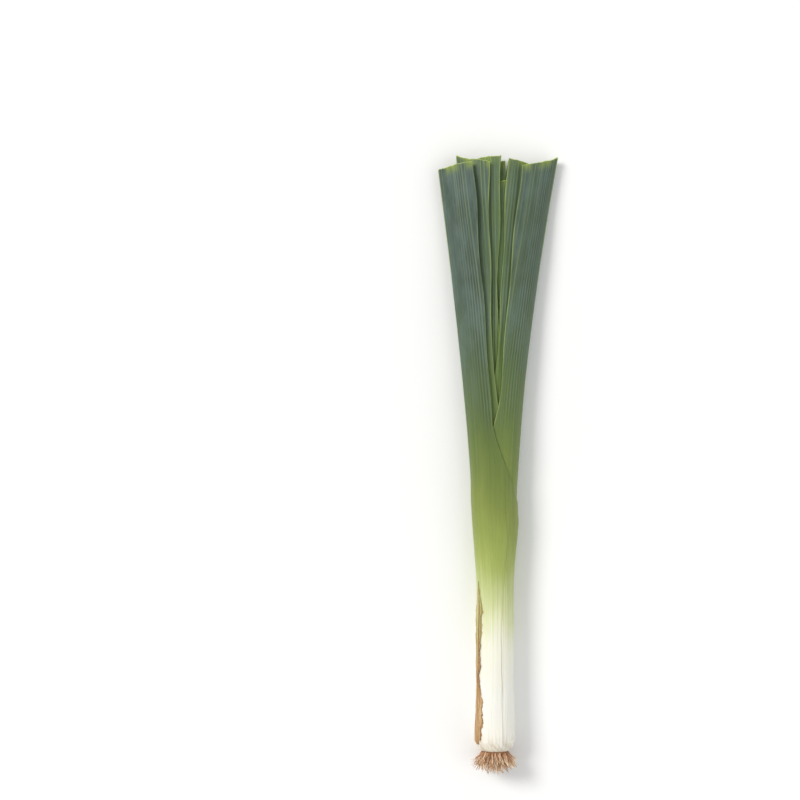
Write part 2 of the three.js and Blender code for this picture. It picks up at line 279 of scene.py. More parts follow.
class Finish:
    """A node material being built: add() makes a node, and a socket given as an input is linked."""

    def __init__(self, name, roughness):
        self.material = bpy.data.materials.new(name)
        self.material.use_nodes = True
        self.tree = self.material.node_tree
        self.shader = self.tree.nodes["Principled BSDF"]
        self.shader.inputs["Roughness"].default_value = roughness

    def set(self, node, name, value):
        socket = node.inputs[name]
        if isinstance(value, bpy.types.NodeSocket):
            self.tree.links.new(value, socket)
        else:
            socket.default_value = value

    def add(self, kind, inputs=None, **settings):
        node = self.tree.nodes.new(kind)
        for key, value in settings.items():
            setattr(node, key, value)
        for key, value in (inputs or {}).items():
            self.set(node, key, value)
        return node

    def math(self, operation, a, b):
        return self.add("ShaderNodeMath", {0: a, 1: b}, operation=operation).outputs[0]

    def product(self, first, *others):
        """All the values given, multiplied."""
        for other in others:
            first = self.math("MULTIPLY", first, other)
        return first

    def blend(self, share, a, b, kind="MIX"):
        node = self.add("ShaderNodeMix", data_type="RGBA", blend_type=kind)
        for name, value in ((0, share), (6, a), (7, b)):
            self.set(node, name, value)
        return node.outputs[2]

    def span(self, value, low, high, to_low=0.0, to_high=1.0):
        """Maps low to high onto to_low to to_high with level ends, held beyond them."""
        inputs = {0: value, 1: low, 2: high, 3: to_low, 4: to_high}
        node = self.add("ShaderNodeMapRange", inputs, clamp=True, interpolation_type="SMOOTHSTEP")
        return node.outputs[0]

    def ramp(self, value, stops):
        """A colour between the stops, which are pairs of a place and a colour."""
        node = self.add("ShaderNodeValToRGB", {0: value})
        points = node.color_ramp.elements
        while len(points) < len(stops):
            points.new(0.5)
        for point, (place, colour) in zip(points, stops):
            point.position = place
            point.color = colour
        return node.outputs[0]

    def noise(self, source, scale, detail=2.0, roughness=0.5):
        """Noise about 0.5 of the source vector, whose three numbers are first multiplied by
        those of scale."""
        vector = self.add("ShaderNodeMapping", {"Vector": source, "Scale": scale}).outputs[0]
        inputs = {"Vector": vector, "Scale": 1.0, "Detail": detail, "Roughness": roughness}
        return self.add("ShaderNodeTexNoise", inputs).outputs["Fac"]

    def skin(self):
        """The piece's own map: millimetres across, millimetres along, and the vector of both."""
        vector = self.add("ShaderNodeUVMap", uv_map="skin").outputs[0]
        parts = self.add("ShaderNodeSeparateXYZ", {0: vector})
        across = self.math("MULTIPLY", parts.outputs[0], MAP_UNIT)
        along = self.math("MULTIPLY", parts.outputs[1], MAP_UNIT)
        return across, along, vector

    def value(self, name):
        return self.add("ShaderNodeAttribute", attribute_name=name).outputs["Fac"]

    def finish(self, colour, bump=None, depth=0.0004, **surface):
        """Sets the colour, the raised grain and the shader's other inputs, whose names are given
        with _ for each space."""
        self.set(self.shader, "Base Color", colour)
        for name, value in surface.items():
            self.set(self.shader, name.replace("_", " "), value)
        if bump is not None:
            node = self.add("ShaderNodeBump", {"Strength": 1.0, "Distance": depth, "Height": bump})
            self.set(self.shader, "Normal", node.outputs[0])
        return self.material


def length_colours(stops):
    """Ramp stops from distances along the leek, in millimetres."""
    return [(s / LEAF_TOP, srgb(*colour)) for s, colour in stops]


# Colours of the skin along the leek: of the shaft and the outer leaves, and of the heart's leaves
OUTER_SKIN = [
    (0, (230, 222, 203)), (12, (240, 237, 226)), (50, (240, 239, 230)), (92, (238, 237, 219)),
    (114, (221, 224, 182)), (132, (200, 207, 150)), (150, (184, 193, 127)), (168, (160, 173, 91)),
    (190, (145, 159, 78)), (220, (129, 142, 66)), (243, (112, 128, 58)), (270, (98, 116, 54)),
    (310, (82, 101, 54)), (360, (70, 89, 57)), (430, (61, 78, 62)), (541, (62, 79, 67)),
]
HEART_SKIN = [
    (0, (240, 238, 214)), (200, (196, 208, 118)), (270, (158, 178, 76)), (340, (132, 158, 60)),
    (420, (108, 136, 54)), (541, (94, 120, 56)),
]
HEART_SHARE = 0.9
STREAK_SHIFT = 46

# Colours of what marks the skin, painted highlights and painted shade among them
INNER_FACE = srgb(130, 160, 52)
PALE_VEIN = srgb(154, 172, 106)
DARK_VEIN = srgb(176, 186, 168)
# Painted highlight on the rib crests and painted shade in the rib grooves
RIB_CREST_HIGHLIGHT = srgb(140, 160, 132)
RIB_GROOVE_SHADE = srgb(188, 196, 184)
WAX = srgb(105, 125, 119)
# A painted highlight along each leaf's keel
KEEL_HIGHLIGHT = srgb(150, 172, 90)
SHEATH_RIM = srgb(206, 188, 138)
# A painted highlight along the blades' margins; SHEATH_RIM is the sheath edge's own tan
BLADE_RIM_HIGHLIGHT = srgb(156, 176, 92)
DRYING_TIP = srgb(146, 164, 58)
CUT_FLESH = srgb(186, 204, 106)
TAN_WRINKLE = srgb(206, 190, 146)
SOIL_STAIN = srgb(166, 128, 90)

# Veins of the skin, coarse to fine: noise scale across and along the leaf, and weight
VEIN_NOISES = [(18, 0.12, 0.7), (48, 0.25, 1.0), (170, 0.6, 0.8)]


def vein_tone(f, vector, fine=1.0):
    """Lengthwise veins as a number about 0: three noises drawn out along the leaf, of about 5,
    2 and 0.6 millimetres across, or finer by a factor."""
    tone = 0.0
    for across, along, weight in VEIN_NOISES:
        noise = f.noise(vector, (across * fine, along, 1.0), 2.0, 0.6)
        tone = f.math("ADD", tone, f.product(f.math("SUBTRACT", noise, 0.5), weight))
    return tone


def streaked_green(f, youth, along, veins, patch, inner):
    """The colour by the distance from the root plate, which streaks and patches move to and fro.
    Inner faces are brighter, and pale and dark veins show where the skin is green."""
    moved = f.math("ADD", along, f.product(veins, STREAK_SHIFT))
    moved = f.math("ADD", moved, f.product(f.math("SUBTRACT", patch, 0.5), STREAK_SHIFT))
    place = f.math("DIVIDE", moved, LEAF_TOP)
    old = f.ramp(place, length_colours(OUTER_SKIN))
    young = f.ramp(place, length_colours(HEART_SKIN))
    colour = f.blend(youth * HEART_SHARE, old, young)
    colour = f.blend(f.product(inner, 0.6), colour, INNER_FACE)
    green = f.span(along, 100, 230, 0.12, 1.0)
    pale = f.product(f.span(veins, 0.06, 0.40, 0.0, 0.46), green)
    colour = f.blend(pale, colour, PALE_VEIN)
    dark = f.product(f.span(veins, -0.06, -0.40, 0.0, 0.9), green)
    return f.blend(dark, colour, DARK_VEIN, "MULTIPLY")


def blade_marks(f, colour, youth, across, along, patch, cloud, inner):
    """Ribs with a painted highlight on their crests and painted shade in their grooves, stronger in
    some patches than in others, greyish wax in clouds, a pale keel line that is a painted highlight
    along the fold, and pale margins: a painted highlight on the blades and the sheath edge's own
    tan on the shaft."""
    rib = f.value("rib")
    firm = f.span(patch, 0.36, 0.62, 0.35, 1.0)
    # Painted highlight on the rib crests and painted shade in the rib grooves, following their relief
    crest_highlight = f.product(f.span(rib, 0.2, 1.0, 0.0, 0.34), firm)
    colour = f.blend(crest_highlight, colour, RIB_CREST_HIGHLIGHT)
    groove_shade = f.product(f.span(rib, -0.1, -1.0, 0.0, 0.9), firm)
    colour = f.blend(groove_shade, colour, RIB_GROOVE_SHADE, "MULTIPLY")
    wax = f.span(cloud, 0.34, 0.70, 0.08, 0.50 - 0.34 * youth)
    wax = f.product(wax, f.span(along, 262, 400), f.math("SUBTRACT", 1.0, inner))
    colour = f.blend(wax, colour, WAX)
    # A painted highlight along the keel's fold
    keel = f.product(f.span(across, 2.1, 0.6), f.span(along, 236, 300))
    keel = f.product(keel, f.span(patch, 0.32, 0.62, 0.3, 0.8))
    colour = f.blend(keel, colour, KEEL_HIGHLIGHT)
    # The rim: the sheath edge's own tan on the shaft, and a painted highlight along the blade margins
    rim = f.blend(f.span(along, 110, 230), SHEATH_RIM, BLADE_RIM_HIGHLIGHT)
    rim_tint_and_highlight = f.product(f.value("edge"), f.span(cloud, 0.34, 0.62, 0.2, 0.8))
    return f.blend(rim_tint_and_highlight, colour, rim)


def end_marks(f, colour, along, vector, veins, cloud):
    """Drying and bright moist flesh at the cut, faint tan wrinkles on the white shaft, and soil
    round the root plate."""
    dry = f.product(f.value("dry"), f.span(cloud, 0.42, 0.62), 0.7)
    colour = f.blend(dry, colour, DRYING_TIP)
    colour = f.blend(f.product(f.value("cut"), 0.9), colour, CUT_FLESH)
    tan = f.product(f.span(veins, 0.18, 0.50, 0.0, 0.26), f.span(along, 150, 60))
    colour = f.blend(tan, colour, TAN_WRINKLE)
    soil = f.noise(vector, (14.0, 6.0, 1.0), 5.0, 0.7)
    stain = f.product(f.span(soil, 0.44, 0.66), f.span(along, 18, 0), 0.6)
    return f.blend(stain, colour, SOIL_STAIN)


def skin_finish(name, youth):
    """The leek's skin: white and moist at the foot, green in lengthwise streaks up the neck, and
    waxy blue-green on the blades. youth goes from 0 for the shaft and the outermost leaf to 1
    for the heart."""
    f = Finish(name, 0.45)
    across, along, vector = f.skin()
    veins = vein_tone(f, vector)
    patch = f.noise(vector, (4.0, 1.4, 1.0), 3.0)
    cloud = f.noise(vector, (7.0, 2.2, 1.0), 4.0, 0.6)
    inner = f.value("inside")
    colour = streaked_green(f, youth, along, veins, patch, inner)
    colour = blade_marks(f, colour, youth, across, along, patch, cloud, inner)
    colour = end_marks(f, colour, along, vector, veins, cloud)
    uneven = f.span(cloud, 0.3, 0.7, -0.04, 0.10)
    return f.finish(
        colour, veins,
        Roughness=f.math("ADD", f.span(along, 120, 330, 0.33, 0.44), uneven),
        Subsurface_Weight=0.14, Subsurface_Radius=(0.9, 0.9, 0.4), Subsurface_Scale=0.003,
        Specular_IOR_Level=0.34, Coat_Weight=0.05, Coat_Roughness=0.3,
    )


def root_finish():
    """Dry root fibre: reddish brown to tan from one root to the next, darker where soil clings."""
    f = Finish("root_fibre", 0.9)
    spot = f.add("ShaderNodeTexCoord").outputs["Object"]
    grain = f.noise(spot, (1500.0, 420.0, 1500.0), 4.0, 0.65)
    soil = f.noise(spot, (170.0, 170.0, 170.0), 4.0, 0.6)
    fibres = [
        (0, srgb(154, 106, 74)), (0.3, srgb(192, 144, 108)),
        (0.6, srgb(218, 182, 146)), (1, srgb(240, 222, 194)),
    ]
    colour = f.ramp(f.value("tone"), fibres)
    colour = f.blend(f.span(soil, 0.5, 0.68, 0.0, 0.5), colour, srgb(124, 86, 58))
    colour = f.blend(f.span(grain, 0.5, 0.75, 0.0, 0.35), colour, srgb(222, 194, 156))
    return f.finish(colour, grain, 0.0003)


def strip_finish():
    """Papery dried skin: tan with orange-brown fibres and brown tears, olive where it is fresher
    towards its upper end."""
    f = Finish("dried_skin", 0.75)
    _, along, vector = f.skin()
    fibres = vein_tone(f, vector, 2.0)
    patch = f.noise(vector, (12.0, 3.2, 1.0), 4.0, 0.65)
    tans = [(0.3, srgb(146, 102, 60)), (0.5, srgb(186, 148, 100)), (0.7, srgb(216, 192, 148))]
    colour = f.ramp(patch, tans)
    fresher = f.span(f.math("ADD", along, f.product(fibres, 60)), 62, 128, 0.0, 0.9)
    colour = f.blend(fresher, colour, srgb(172, 176, 106))
    colour = f.blend(f.span(fibres, 0.0, -0.20, 0.0, 0.75), colour, srgb(128, 80, 44))
    colour = f.blend(f.span(fibres, 0.02, 0.20, 0.0, 0.75), colour, srgb(228, 210, 170))
    tear = f.product(f.value("edge"), f.span(patch, 0.62, 0.40, 0.1, 0.7))
    colour = f.blend(tear, colour, srgb(138, 90, 52))
    return f.finish(colour, fibres, Subsurface_Weight=0.1, Subsurface_Scale=0.001)


def table_finish():
    """A plain pale table top with the faintest unevenness."""
    f = Finish("pale_table", 0.6)
    spot = f.add("ShaderNodeTexCoord").outputs["Object"]
    mottle = f.noise(spot, (3.0, 3.0, 3.0), 3.0)
    return f.finish(f.ramp(mottle, [(0.3, srgb(245, 245, 244)), (0.7, srgb(248, 248, 247))]))


# Shaft
SHAFT_ROWS = 170
SHAFT_COLUMNS = 384
SHAFT_ROW_CROWDING = 1.25
FOOT_ROUND = 9
BULB_START = 12
BULB_TAPER = 55
FLATTEN_START = 140
FLAT_SHARE = 0.35

# The relief of its skin: veins, dents and wrinkles, and the edge of the outer sheath, whose
# waves are given by height in radians and length. FOOT_FADE and HEAD_FADE are the lengths over
# which the relief fades, and the MARK values say where along the shaft the edge's tint shows
VEIN_HEIGHT = 0.05
VEIN_TURNS = 60
FIBRE_TURNS = 27
DENT_HEIGHT = 0.16
DENT_TURNS = 5
WRINKLE_HEIGHT = 0.14
WRINKLE_TURNS = 34
WRINKLE_REACH = 24
WRINKLE_FADE = 18
FOOT_FADE = 6
HEAD_FADE = 22
MARK_RISE = 20
MARK_FALL = 60
MARK_END = 192
SHEATH_EDGE = dict(turn=0.36, height=0.34, slope=0.026, back=1.2)
SHEATH_EDGE_WAVES = [(0.12, 52), (0.025, 14), (0.014, 5.3)]

# How its head draws in under the leaves, all round and more so on the far side
LIP_DEPTH = 0.4
LIP_LENGTH = 1.4
MOUTH_DEPTH = 1.5
MOUTH_LENGTH = 18
MOUTH_START = 0.45
MOUTH_EASE = 0.4
HEAD_SINK = 1.0


def shaft_section(s):
    """Half-width and half-height of the shaft's section: the bulb eases into the shaft and the
    shaft into the flat neck, and the foot closes in with the square root of the distance."""
    body = mix(BULB_RADIUS, SHAFT_RADIUS, smooth((s - BULB_START) / BULB_TAPER))
    swell = mix(PLATE_RADIUS, body, np.sqrt(np.clip(s / FOOT_ROUND, 0, 1)))
    flatten = smooth((s - FLATTEN_START) / (COLLAR - FLATTEN_START))
    return mix(swell, NECK_HALF_WIDTH, flatten), mix(swell, NECK_HALF_HEIGHT, flatten)


def shaft_surface(s, angle, outset):
    """Points on the shaft at an angle from +X round its axis, outset from its skin."""
    half_width, corner = shaft_section(s)
    across = np.cos(angle)
    straight = (half_width - corner) * np.clip(across / FLAT_SHARE, -1, 1)
    return lay_down(straight + (corner + outset) * across, s, (corner + outset) * np.sin(angle))


def shaft_relief(s, angle):
    """Fine lengthwise veins, shallow dents, wrinkles at the foot and the thin edge of the outer
    sheath, which runs up the shaft's upper right side: a quick rise at its edge and a slow fall
    behind it. All fade at both ends, and the head draws in. Returns the height and how near the
    sheath's edge is."""
    veins = VEIN_HEIGHT * np.cos(VEIN_TURNS * angle + 1.5 * np.sin(3 * angle))
    veins = veins + VEIN_HEIGHT * np.cos(FIBRE_TURNS * angle + s / 45) * np.sin(s / 60 + 4 * angle)
    dents = DENT_HEIGHT * np.sin(DENT_TURNS * angle + s / 33) * np.sin(s / 27 + 2 * angle)
    drifts = [height * np.sin(s / length) for height, length in SHEATH_EDGE_WAVES]
    behind = angle - sum(drifts, SHEATH_EDGE["turn"] * np.pi)
    step = smooth(behind / SHEATH_EDGE["slope"]) * (1 - smooth(behind / SHEATH_EDGE["back"]))
    wrinkles = WRINKLE_HEIGHT * np.cos(WRINKLE_TURNS * angle + 2 * np.sin(s / 9))
    wrinkles = wrinkles * smooth((WRINKLE_REACH - s) / WRINKLE_FADE)
    relief = veins + dents + SHEATH_EDGE["height"] * step + wrinkles
    far_side = smooth((np.cos(angle) - MOUTH_START) / MOUTH_EASE)
    mouth = MOUTH_DEPTH * past_collar(s, -MOUTH_LENGTH, MOUTH_LENGTH) * far_side
    lip = LIP_DEPTH * past_collar(s, -LIP_LENGTH, LIP_LENGTH) + mouth
    mark = np.exp(-((behind / SHEATH_EDGE["slope"]) ** 2))
    mark = mark * smooth(s / MARK_RISE) * smooth((MARK_END - s) / MARK_FALL)
    return relief * smooth(s / FOOT_FADE) * smooth((COLLAR - s) / HEAD_FADE) - lip, mark


def build_shank():
    """The shaft as a grid of rings closed by a fan at the foot and at the head. Its map runs from
    the left side round to the right, above and below, so that it meets itself."""
    rise = np.linspace(0, 1, SHAFT_ROWS)[:, None]
    angle = np.linspace(0, 2 * np.pi, SHAFT_COLUMNS + 1)[None, :]
    s = COLLAR * rise ** SHAFT_ROW_CROWDING + 0 * angle
    angle = angle + 0 * s
    relief, mark = shaft_relief(s, angle)
    points = shaft_surface(s, angle, relief)
    girth = arc_lengths(shaft_surface(s, angle, 0))
    half_way = girth[:, SHAFT_COLUMNS // 2 : SHAFT_COLUMNS // 2 + 1]
    uv = np.stack([np.abs(girth - half_way), s], -1)[:, :-1] / MAP_UNIT
    points = points[:, :-1]
    foot = lay_down(np.zeros(1), np.zeros(1), np.zeros(1))
    head = lay_down(np.zeros(1), np.full(1, COLLAR - HEAD_SINK), np.zeros(1))
    count = SHAFT_ROWS * SHAFT_COLUMNS
    ring = np.arange(SHAFT_COLUMNS)
    following = (ring + 1) % SHAFT_COLUMNS
    last = count - SHAFT_COLUMNS
    sides = quads_of(SHAFT_ROWS, SHAFT_COLUMNS, True)[:, ::-1]
    foot_fan = np.stack([0 * ring + count, ring, following], -1)
    head_fan = np.stack([0 * ring + count + 1, last + following, last + ring], -1)
    vertices = np.concatenate([points.reshape(-1, 3), foot, head])
    uv = np.concatenate([uv.reshape(-1, 2), [[0, 0], [0, COLLAR / MAP_UNIT]]])
    faces = [sides, foot_fan, head_fan]
    edge = np.append(mark[:, :-1].reshape(-1), [0, 0])
    return mesh_object("shank_skin", vertices, faces, skin_finish("shaft_skin", 0), uv, edge=edge)


# Leaves
LEAF_ROWS = 108
LAST_ROW = 0.9975
ARM_COLUMNS = 116
FEWER_COLUMNS = 9
KEEL_CROWDING = 1.5
SHEATH_ROWS = 16
SHEATH_LENGTH = 44
SHEATH_RISE = 36
SHEATH_CLOSING = 12
SHEATH_EDGE_SHARE = 0.1
SHEATH_BLEND = 14
SHEATH_TUCK = 0.64
SHEATH_OUTSET = 0.16
SHEATH_MARGIN_CROWDING = 1.35
SHEATH_INSET = -1.0
NOTCH_LENGTH = 28
RIM_GAP = 1.0
MARGIN_THICKNESS = 0.45
THINNING_START = 0.7
RAG_HEIGHT = 0.5
RIB_SPACING = 2.7
RIB_HEIGHT = 0.13
RIB_SHIFT = 2.2
RIB_JITTER = 0.9
RIB_STRENGTH = 0.62
RIB_SWING = 0.38
RIB_END = 0.94
INNER_RIB_SHARE = 0.6
KEEL_HEIGHT = 0.35
KEEL_WIDTH = 1.4
CURL_HEIGHT = 1.5
CURL_START = 0.55
CURL_POWER = 2.2
RUFFLE_MIDDLE = 0.55
RUFFLE_SWING = 0.45
RUFFLE_WAVES = [(21, 2.1), (47, 1)]
EDGE_START = 0.965
DRY_LENGTH = 9
INNER_CLEARANCE = 0.5

# Where the upper margin's curl, the ribs, the keel's ridge and the pale edge begin past the
# collar, and the length over which each rises
CURL_RISE = (20, 120)
RIB_RISE = (20, 90)
RIDGE_RISE = (4, 40)
EDGE_RISE = (0, 30)


def keel_reach(index, s):
    """Keel from the middle line: its inset at the collar, widening by a power of the length."""
    at_collar = NECK_HALF_WIDTH - index * LAYER_WIDTH
    return mix(at_collar, LEAVES[index]["keel"], blade_share(s) ** KEEL_SPREAD_POWER)


def fold_round(index, s):
    """Length of the keel's rounded fold, in proportion from the collar to the top."""
    straight = NECK_HALF_WIDTH - NECK_HALF_HEIGHT
    at_collar = max(LEAST_FOLD, NECK_HALF_WIDTH - index * LAYER_WIDTH - straight)
    return mix(at_collar, LEAVES[index]["fold"], blade_share(s))


def margin_reach(index, s):
    """How far the margins reach past the middle line: they sweep in above the collar, then drift
    out with a power of the length, with a slow wave. The outermost leaf's margins meet on the
    far side at the collar, and part above it in a round notch."""
    at_collar, at_top = LEAVES[index]["margin"]
    sweep = past_collar(s, 0, FIRST_SWEEP + index * NEXT_SWEEP)
    wave = MARGIN_WAVE * blade_share(s) * np.sin(s / MARGIN_WAVE_LENGTH * 2 * np.pi + index * 2)
    reach = at_collar * (1 - sweep) + at_top * blade_share(s) ** MARGIN_DRIFT_POWER + wave
    if index == 0:
        parting = 1 - np.clip((s - COLLAR) / NOTCH_LENGTH, 0, 1)
        far_side = keel_reach(1, s) + RIM_GAP
        reach = reach + (far_side - at_collar) * parting ** 2
    return reach


def fold_height(index, s, side):
    """Half-height of the fold above or below the fan's middle, less by a layer for each leaf."""
    t = smooth(blade_share(s))
    outermost = mix(NECK_HALF_HEIGHT, np.where(side > 0, TOP_HALF_HEIGHT, TOP_LOWER_HEIGHT), t)
    return outermost - index * np.where(side > 0, mix(LAYER_DEPTH, TOP_LAYER_DEPTH, t), LAYER_DEPTH)


def round_rise(share, power):
    """A rise from 0 to 1 along a superellipse: power 2 is round and smaller powers are sharper."""
    return (1 - (1 - np.clip(share, 0, 1)) ** power) ** (1 / power)


def fold_surface(index, s, across, inset):
    """A leaf's folded sheet, straight: across is 0 at the keel and 1 or -1 at the margins of its
    upper and lower halves, and inset is 0 on its outer face. Columns crowd towards the keel, and
    on the outermost leaf towards the margins too. A leaf that holds another closes round the far
    side of the neck, over that one's keel."""
    side = np.where(across < 0, -1, 1)
    keel = keel_reach(index, s)
    corner = fold_round(index, s)
    arm = keel + margin_reach(index, s)
    power = mix(2, SHARP_FOLD, blade_share(s))
    share = np.abs(across) ** KEEL_CROWDING
    if index == 0:
        share = 1 - (1 - share) ** SHEATH_MARGIN_CROWDING
    from_keel = inset + (arm - inset) * share
    rise = round_rise((from_keel - inset) / (corner - inset), power)
    if index + 1 < len(LEAVES):
        far_end = keel_reach(index + 1, s) + RIM_GAP - inset
        far_corner = fold_round(index + 1, s) + RIM_GAP - inset
        rise = rise * round_rise((far_end + keel - from_keel) / far_corner, power)
    keel_side = 1 if index % 2 else -1
    return keel_side * (keel - from_keel), side * (fold_height(index, s, side) - inset) * rise


def collar_angle(x, z):
    """Angle round the shaft's section at the collar of points of the outermost leaf there. The
    leaf's far side falls a little short of the shaft's, and is drawn out to it, so that the
    sheath closes."""
    straight = NECK_HALF_WIDTH - NECK_HALF_HEIGHT
    far_side = NECK_HALF_WIDTH - LAYER_WIDTH + RIM_GAP
    reach = np.abs(x) * mix(1, NECK_HALF_WIDTH / far_side, smooth(x / far_side))
    flat = reach / (straight / FLAT_SHARE + NECK_HALF_HEIGHT)
    across = np.clip(np.maximum((reach - straight) / NECK_HALF_HEIGHT, flat), 0, 1)
    rise = np.where(z < 0, -1, 1) * np.sqrt(1 - across * across)
    return np.arctan2(rise, np.sign(x) * across)


def leaf_rows(index, across):
    """Distances along the leaf for each row and column, up to its uneven cut. The outermost leaf
    starts a little below the collar, as the shaft's outer sheath."""
    leaf = LEAVES[index]
    rise = np.append(np.linspace(0, 1, LEAF_ROWS - 1) * LAST_ROW, 1)[:, None]
    rag = RAG_HEIGHT * wander(across, index, 6, 160, 0.6)
    s = mix(COLLAR + SEAM, leaf["top"] + leaf["slant"] * np.abs(across) + rag, rise)
    if index == 0:
        sheath = np.linspace(COLLAR - SHEATH_LENGTH, COLLAR + SEAM, SHEATH_ROWS)[:-1, None]
        s = np.concatenate([sheath + 0 * across, s])
    return s


def sheath_outset(s, across):
    """How far the outermost leaf's sheath stands off the shaft's skin: it rises out of it along
    its length and away from its margins, so that no edge shows below the collar."""
    along = past_collar(s, -SHEATH_LENGTH, SHEATH_RISE)
    from_margin = smooth((1 - np.abs(across)) / SHEATH_EDGE_SHARE)
    near_collar = past_collar(s, -SHEATH_CLOSING, SHEATH_CLOSING)
    return SHEATH_OUTSET - SHEATH_TUCK * (1 - along * np.maximum(from_margin, near_collar))


def blade_thickness(across):
    """A blade's thickness, which eases to a thin edge at the margins."""
    thinning = smooth((np.abs(across) - THINNING_START) / (1 - THINNING_START))
    return mix(BLADE_THICKNESS, MARGIN_THICKNESS, thinning)


def leaf_face(index, s, across, inset, on_shaft):
    """One face of a leaf, laid down. The upper margin lifts and ruffles above the collar, in two
    waves multiplied, and below it the outermost leaf follows the shaft at an outset."""
    x, z = fold_surface(index, s, across, inset)
    near_margin = np.clip((np.abs(across) - CURL_START) / (1 - CURL_START), 0, 1) ** CURL_POWER
    short, long = [np.sin(s / length + turn * index) for length, turn in RUFFLE_WAVES]
    ruffle = RUFFLE_MIDDLE + RUFFLE_SWING * short * long
    upper = (across > 0) * past_collar(s, *CURL_RISE)
    points = lay_down(x, s, z + CURL_HEIGHT * near_margin * ruffle * upper)
    if index == 0:
        sheath = shaft_surface(s, collar_angle(x, z), on_shaft)
        share = past_collar(s, -SHEATH_BLEND, SHEATH_BLEND)[..., None]
        points = mix(sheath, points, share)
    return points


def rib_wave(index, s, across, distance):
    """Ribs as a wave about 0 of the distance from the keel, uneven in spacing and in strength,
    which fades out at the collar and at the margins."""
    shift = RIB_SHIFT * np.sin(distance / 6 + index + s / 260)
    shift = shift + RIB_JITTER * np.sin(distance / 2.9 + 3 * index)
    strength = RIB_STRENGTH + RIB_SWING * np.sin(distance / 4.7 + 2 * index + s / 170)
    margin = smooth((np.abs(across) - RIB_END) / (1 - RIB_END))
    fade = past_collar(s, *RIB_RISE) * (1 - margin)
    return strength * np.cos(distance / RIB_SPACING * 2 * np.pi + shift) * fade


def build_leaf(index):
    """One blade from its collar to its cut: two faces as fine grids, raised in ribs and in a
    ridge along the keel. Inner leaves are narrower and have fewer columns."""
    arm = ARM_COLUMNS - index * FEWER_COLUMNS
    across = np.linspace(-1, 1, 2 * arm + 1)[None, :]
    s = leaf_rows(index, across)
    across = across + 0 * s
    outer = leaf_face(index, s, across, 0, sheath_outset(s, across))
    inner = leaf_face(index, s, across, blade_thickness(across), SHEATH_INSET)
    distance = arc_lengths(outer)
    distance = np.abs(distance - distance[:, arm : arm + 1])
    flip = index % 2 == 1
    outward = normals_of(outer) * (-1 if flip else 1)
    rib = rib_wave(index, s, across, distance)
    ridge = KEEL_HEIGHT * np.exp(-((distance / KEEL_WIDTH) ** 2)) * past_collar(s, *RIDGE_RISE)
    outer = outer + outward * ((RIB_HEIGHT * rib + ridge) * MM)[..., None]
    inner = inner + outward * (INNER_RIB_SHARE * RIB_HEIGHT * rib * MM)[..., None]
    outer[..., 2] = np.maximum(outer[..., 2], 0)
    inner[..., 2] = np.maximum(inner[..., 2], INNER_CLEARANCE * MM)
    uv = np.stack([distance, s], -1) / MAP_UNIT
    edge = smooth((np.abs(across) - EDGE_START) / (1 - EDGE_START)) * past_collar(s, *EDGE_RISE)
    end = np.zeros(s.shape)
    end[-1] = 1
    dry = 1 - smooth((s[-1:] - s) / DRY_LENGTH)
    finish = skin_finish(f"leaf_{index + 1}_skin", index / (len(LEAVES) - 1))
    return closed_sheet(
        f"leaf_{index + 1}_blade", outer, inner, uv, finish, flip,
        inside=(0 * s, 0 * s + 1), edge=(edge, edge), cut=(end, end), dry=(dry, dry), rib=(rib, -rib),
    )


# Dry strip
STRIP = dict(start=8, end=152, middle=math.pi * 0.86, half_turn=0.4, narrowing=0.72)
STRIP_ROWS = 400
STRIP_COLUMNS = 34
STRIP_OUTSET = (0.5, 0.2)
STRIP_RAGS = (2.2, 1.4)
STRIP_BULGE = 0.16
STRIP_DRIFT = 0.07
STRIP_EDGE_FALL = 0.2
STRIP_TEAR = 0.12
STRIP_LIFT = 0.9
STRIP_WAVE = 0.2
STRIP_FIBRE = 0.12
STRIP_TIP = 0.06
STRIP_EDGE_START = 0.86


def strip_place(t, share):
    """Distances along the shaft and angles round it of the strip's grid, and its half-width as an
    angle: it narrows with a power of the length and closes to a tip, its ends are ragged, and its
    sides are torn unevenly."""
    low_rag, high_rag = STRIP_RAGS
    s = mix(STRIP["start"], STRIP["end"], t)
    s = s + low_rag * wander(share, 5, 3, 60) * (1 - t) + high_rag * wander(share, 6, 3, 40) * t
    bulge = 1 + STRIP_BULGE * np.sin(9 * t + 1)
    half = STRIP["half_turn"] * (1 - STRIP["narrowing"] * t ** 1.5) * bulge
    half = half * np.sqrt(np.clip((1 - t) / STRIP_TIP, 0.02, 1))
    middle = STRIP["middle"] + STRIP_DRIFT * np.sin(5 * t)
    torn = np.where(share > 0, wander(t, 21, 12, 1100, 0.5), wander(t, 22, 9, 1000, 0.5)) * STRIP_TEAR
    angle = middle - share * (half + torn * np.minimum(half / STRIP["half_turn"] * 2, 1))
    return s, angle, half


def strip_lift(t, share):
    """Height of the strip over the shaft: its sides lift here and there, and shallow lengthwise
    waves and fine fibres run along it."""
    lifted = np.where(share > 0, wander(t, 23, 7, 70), wander(t, 24, 7, 70))
    lift = STRIP_LIFT * np.abs(share) ** 3 * np.clip(0.35 + lifted, 0, 1)
    lift = lift + STRIP_WAVE * np.cos(13 * share + 2.5 * wander(t, 25, 3, 20))
    return lift + STRIP_FIBRE * wander(share, 26, 20, 60)


